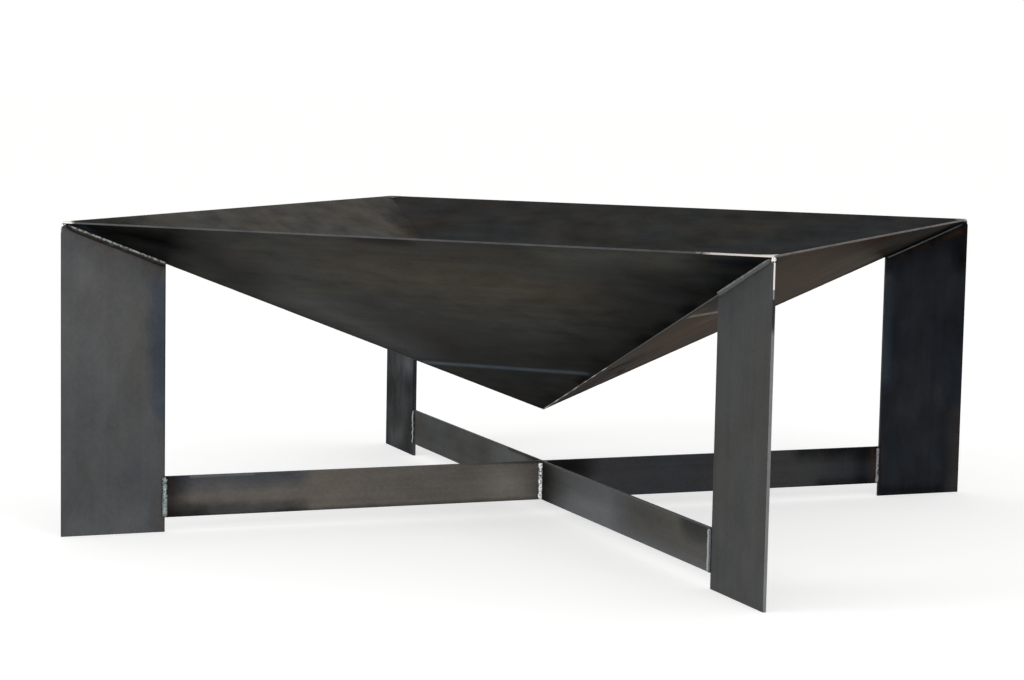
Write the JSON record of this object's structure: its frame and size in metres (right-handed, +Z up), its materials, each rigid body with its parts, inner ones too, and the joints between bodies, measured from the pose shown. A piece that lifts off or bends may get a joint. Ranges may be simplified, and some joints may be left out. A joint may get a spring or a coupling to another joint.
{
  "type": "fire bowl",
  "caption": "Square fire bowl of welded sheet steel, an inverted pyramid on corner legs of flat plate with a low cross brace, for burning logs outdoors.",
  "frame": {"origin": "on the floor, below the middle of the bowl", "axes": "+Z up; X and Y along the sides of the square rim, with -Y towards the front panel; the legs and brace bars stand in the two upright diagonal planes"},
  "size_m": [0.7, 0.7, 0.3],
  "materials": {
    "bowl_sheet": "hot-rolled sheet with dark mill scale",
    "stand_plate": "hot-rolled plate with dark mill scale",
    "weld_bead": "weld bead as laid",
    "ground_weld": "weld ground flush and bright"
  },
  "bodies": {
    "root": {"bowl_panel_front": "bowl_sheet", "bowl_panel_right": "bowl_sheet", "bowl_panel_back": "bowl_sheet", "bowl_panel_left": "bowl_sheet", "leg_front_left": "stand_plate", "leg_front_right": "stand_plate", "leg_back_right": "stand_plate", "leg_back_left": "stand_plate", "brace_long": "stand_plate", "brace_half_front_left": "stand_plate", "brace_half_back_right": "stand_plate", "ridge_seam_front_left": "weld_bead", "leg_top_weld_front_left": "weld_bead", "brace_end_weld_front_left": "weld_bead", "ridge_seam_front_right": "weld_bead", "leg_top_weld_front_right": "weld_bead", "brace_end_weld_front_right": "weld_bead", "ridge_seam_back_right": "weld_bead", "leg_top_weld_back_right": "weld_bead", "brace_end_weld_back_right": "weld_bead", "ridge_seam_back_left": "weld_bead", "leg_top_weld_back_left": "weld_bead", "brace_end_weld_back_left": "weld_bead", "brace_cross_weld": "weld_bead", "tip_weld": "weld_bead", "rim_corner_weld_front_left": "ground_weld", "rim_corner_weld_front_right": "ground_weld", "rim_corner_weld_back_right": "ground_weld", "rim_corner_weld_back_left": "ground_weld"}
  },
  "joints": []
}
